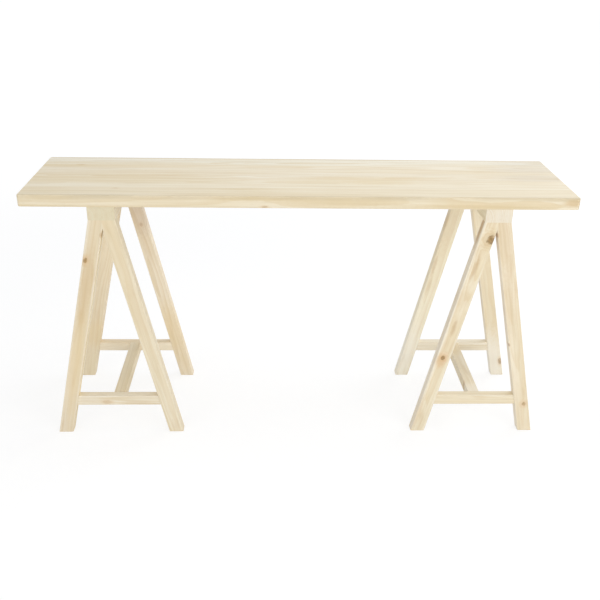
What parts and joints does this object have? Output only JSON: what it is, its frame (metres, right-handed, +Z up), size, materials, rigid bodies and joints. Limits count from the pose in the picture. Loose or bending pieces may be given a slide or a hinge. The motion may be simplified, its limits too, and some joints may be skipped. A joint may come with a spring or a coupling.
{
  "type": "trestle table",
  "caption": "Long narrow wooden trestle table: a loose plank top laid on rigid A-frame trestles with splayed legs, head beams and H-shaped stretchers.",
  "frame": {"origin": "on the floor, under the middle of the top", "axes": "+X along the length of the top, +Y from the front to the rear, +Z up"},
  "size_m": [1.6, 0.39, 0.8],
  "materials": {
    "top_boards": "pale whitewashed pine boards, matte, with soft grain along the length",
    "trestle_timber": "pale planed pine, matte, with knots and softened edges"
  },
  "bodies": {
    "left_trestle": {"left_head_beam": "trestle_timber", "left_front_outer_leg": "trestle_timber", "left_front_inner_leg": "trestle_timber", "left_rear_outer_leg": "trestle_timber", "left_rear_inner_leg": "trestle_timber", "left_front_stretcher": "trestle_timber", "left_rear_stretcher": "trestle_timber", "left_centre_bar": "trestle_timber"},
    "right_trestle": {"right_head_beam": "trestle_timber", "right_front_outer_leg": "trestle_timber", "right_front_inner_leg": "trestle_timber", "right_rear_outer_leg": "trestle_timber", "right_rear_inner_leg": "trestle_timber", "right_front_stretcher": "trestle_timber", "right_rear_stretcher": "trestle_timber", "right_centre_bar": "trestle_timber"},
    "top": {"top_board_1": "top_boards", "top_board_2": "top_boards", "top_board_3": "top_boards", "top_board_4": "top_boards", "top_board_5": "top_boards"}
  },
  "joints": [
    {"name": "top_lift", "type": "slide", "parent": "left_trestle", "child": "top", "axis": [0, 0, 1], "range_m": [0, 0.25]},
    {"name": "right_trestle_shift", "type": "slide", "parent": "left_trestle", "child": "right_trestle", "axis": [1, 0, 0], "range_m": [-0.3, 0.03]}
  ]
}
